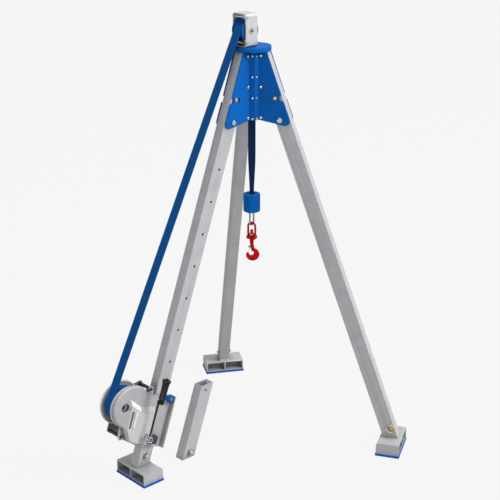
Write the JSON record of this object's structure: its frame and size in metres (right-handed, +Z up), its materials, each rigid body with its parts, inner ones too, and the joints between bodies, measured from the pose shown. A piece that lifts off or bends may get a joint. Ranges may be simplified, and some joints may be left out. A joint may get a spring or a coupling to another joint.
{
  "type": "rescue tripod",
  "caption": "Aluminium rescue tripod with blue head, folding legs, head sheave, webbing strap, swivel hook and a geared hand winch on one leg.",
  "frame": {"origin": "middle of the footprint at ground level", "axes": "+Z up; seen from -Y the winch leg is at the front left, the right leg at the front right and the rear leg along +Y"},
  "size_m": [1.5153, 1.2654, 2.083],
  "materials": {
    "blue_paint": "glossy",
    "blue_rubber": "matte",
    "chrome": "polished",
    "aluminium": "satin",
    "steel": "satin",
    "cast_grey": "cast",
    "webbing": "woven",
    "red_paint": "glossy",
    "yellow_ring": "glossy",
    "black_plastic": "satin"
  },
  "bodies": {
    "head": {"head_disc": "blue_paint", "head_core": "blue_paint", "side_sheet_front": "blue_paint", "side_sheet_right": "blue_paint", "side_sheet_left": "blue_paint", "core_screws": "chrome", "sheet_bolts": "chrome", "pivot_bolts": "chrome", "sheave_bracket": "aluminium", "sheave_axle": "chrome", "strap_guards": "chrome", "strap_over_sheave": "webbing"},
    "leg_a": {"leg_tube_a": "aluminium", "pivot_bush_a": "steel", "foot_a": "aluminium", "foot_pad_a": "blue_rubber", "foot_bolt_a": "chrome", "winch_bracket": "aluminium", "bracket_block": "black_plastic", "gear_plate": "steel", "back_plate": "steel", "gear_cover": "cast_grey", "winch_tie_rods": "steel", "ratchet_pawl": "steel", "strap_run": "webbing"},
    "leg_a_lock": {"lock_bolt_a": "chrome"},
    "leg_b": {"leg_tube_b": "aluminium", "pivot_bush_b": "steel", "foot_b": "aluminium", "foot_pad_b": "blue_rubber"},
    "leg_b_lock": {"lock_bolt_b": "chrome"},
    "leg_c": {"leg_tube_c": "aluminium", "pivot_bush_c": "steel", "foot_c": "aluminium", "foot_pad_c": "blue_rubber"},
    "leg_c_lock": {"lock_bolt_c": "chrome"},
    "foot_pin_b": {"ring_pin_b": "chrome"},
    "ring_b": {"pull_ring_b": "yellow_ring"},
    "foot_pin_c": {"ring_pin_c": "chrome"},
    "ring_c": {"pull_ring_c": "yellow_ring"},
    "hoist": {"hook_weight": "blue_paint", "hook_shackle": "chrome", "strap_hanging": "webbing"},
    "eye": {"swivel_eye": "red_paint"},
    "hook": {"lifting_hook": "red_paint", "hook_nut": "steel"},
    "latch": {"hook_latch": "chrome"},
    "sheave_wheel": {"sheave": "blue_paint", "sheave_bearings": "steel"},
    "drum": {"winch_drum": "aluminium", "wound_strap": "webbing", "drum_gear": "steel"},
    "layshaft": {"lay_gear": "steel"},
    "crank": {"crank_shaft": "steel", "crank_arm": "black_plastic"},
    "grip_holder": {"grip_fork": "black_plastic"},
    "grip": {"crank_grip": "black_plastic"},
    "bracket_pin": {"bracket_lock_pin": "blue_paint"},
    "release": {"release_knob": "black_plastic"},
    "spare_leg": {"spare_leg_piece": "aluminium"}
  },
  "joints": [
    {"name": "leg_a_fold", "type": "hinge", "parent": "head", "child": "leg_a", "pos_m": [-0.08546, -0.21158, 1.602], "axis": [0.5, -0.866, 0], "range_deg": [0, 20]},
    {"name": "leg_a_lock_slide", "type": "slide", "parent": "leg_a", "child": "leg_a_lock", "axis": [0.5, -0.866, 0], "range_m": [0, 0.007]},
    {"name": "leg_b_fold", "type": "hinge", "parent": "head", "child": "leg_b", "pos_m": [0.16136, -0.21158, 1.602], "axis": [0.5, 0.866, 0], "range_deg": [0, 20]},
    {"name": "leg_b_lock_slide", "type": "slide", "parent": "leg_b", "child": "leg_b_lock", "axis": [-0.5, -0.866, 0], "range_m": [0, 0.007]},
    {"name": "leg_c_fold", "type": "hinge", "parent": "head", "child": "leg_c", "pos_m": [0.03795, 0.00217, 1.602], "axis": [-1, 0, 0], "range_deg": [0, 20]},
    {"name": "leg_c_lock_slide", "type": "slide", "parent": "leg_c", "child": "leg_c_lock", "axis": [-1, 0, 0], "range_m": [0, 0.007]},
    {"name": "foot_pin_b_slide", "type": "slide", "parent": "leg_b", "child": "foot_pin_b", "axis": [-0.5, -0.866, 0], "range_m": [0, 0.09]},
    {"name": "ring_b_swing", "type": "hinge", "parent": "foot_pin_b", "child": "ring_b", "pos_m": [0.62285, -0.51958, 0.11088], "axis": [-0.2962, 0.171, 0.9397], "range_deg": [-90, 0]},
    {"name": "foot_pin_c_slide", "type": "slide", "parent": "leg_c", "child": "foot_pin_c", "axis": [1, 0, 0], "range_m": [0, 0.09]},
    {"name": "ring_c_swing", "type": "hinge", "parent": "foot_pin_c", "child": "ring_c", "pos_m": [0.07395, 0.55583, 0.11088], "axis": [0, -0.342, 0.9397], "range_deg": [-90, 0]},
    {"name": "hoist", "type": "slide", "parent": "head", "child": "hoist", "axis": [0, 0, 1], "range_m": [-0.85, 0.3], "deforming": ["strap_hanging"]},
    {"name": "eye_swing", "type": "hinge", "parent": "hoist", "child": "eye", "pos_m": [0.03795, -0.14033, 1.078], "axis": [0.7986, 0.6018, 0], "range_deg": [-35, 35]},
    {"name": "hook_swivel", "type": "hinge", "parent": "eye", "child": "hook", "pos_m": [0.03795, -0.14033, 1.0073], "axis": [0, 0, 1], "continuous": true},
    {"name": "latch_open", "type": "hinge", "parent": "hook", "child": "latch", "pos_m": [0.02821, -0.13808, 0.9663], "axis": [-0.225, -0.9744, 0], "range_deg": [0, 30], "stiffness_Nm_per_rad": 0.02, "springref_deg": -22.92},
    {"name": "sheave_spin", "type": "hinge", "parent": "head", "child": "sheave_wheel", "pos_m": [0.00193, -0.16113, 2.006], "axis": [0.5, -0.866, 0], "continuous": true},
    {"name": "drum_spin", "type": "hinge", "parent": "leg_a", "child": "drum", "pos_m": [-0.64847, -0.53664, 0.40139], "axis": [0.5, -0.866, 0], "continuous": true},
    {"name": "layshaft_spin", "type": "hinge", "parent": "leg_a", "child": "layshaft", "pos_m": [-0.63021, -0.52609, 0.30774], "axis": [-0.5, 0.866, 0], "continuous": true},
    {"name": "crank_spin", "type": "hinge", "parent": "leg_a", "child": "crank", "pos_m": [-0.60042, -0.50889, 0.24392], "axis": [0.5, -0.866, 0], "continuous": true},
    {"name": "grip_fold", "type": "hinge", "parent": "crank", "child": "grip_holder", "pos_m": [-0.48386, -0.58766, 0.41306], "axis": [0.8138, 0.4698, -0.342], "range_deg": [0, 90]},
    {"name": "grip_spin", "type": "hinge", "parent": "grip_holder", "child": "grip", "pos_m": [-0.48386, -0.58766, 0.41306], "axis": [0.2962, 0.171, 0.9397], "continuous": true},
    {"name": "bracket_pin_slide", "type": "slide", "parent": "leg_a", "child": "bracket_pin", "axis": [0.5, -0.866, 0], "range_m": [0, 0.072]},
    {"name": "release_lift", "type": "slide", "parent": "leg_a", "child": "release", "axis": [0.2962, 0.171, 0.9397], "range_m": [0, 0.008], "stiffness_N_per_m": 400, "springref_m": -0.004},
    {"name": "spare_leg_lift", "type": "slide", "parent": "leg_a", "child": "spare_leg", "axis": [0, 0, 1], "range_m": [0, 0.2]}
  ],
  "couplings": [
    {"joint": "sheave_spin", "follows": "hoist", "rad_per_m": 24.038},
    {"joint": "drum_spin", "follows": "hoist", "rad_per_m": 11.737},
    {"joint": "layshaft_spin", "follows": "hoist", "rad_per_m": 41.918},
    {"joint": "crank_spin", "follows": "hoist", "rad_per_m": 131.74}
  ]
}
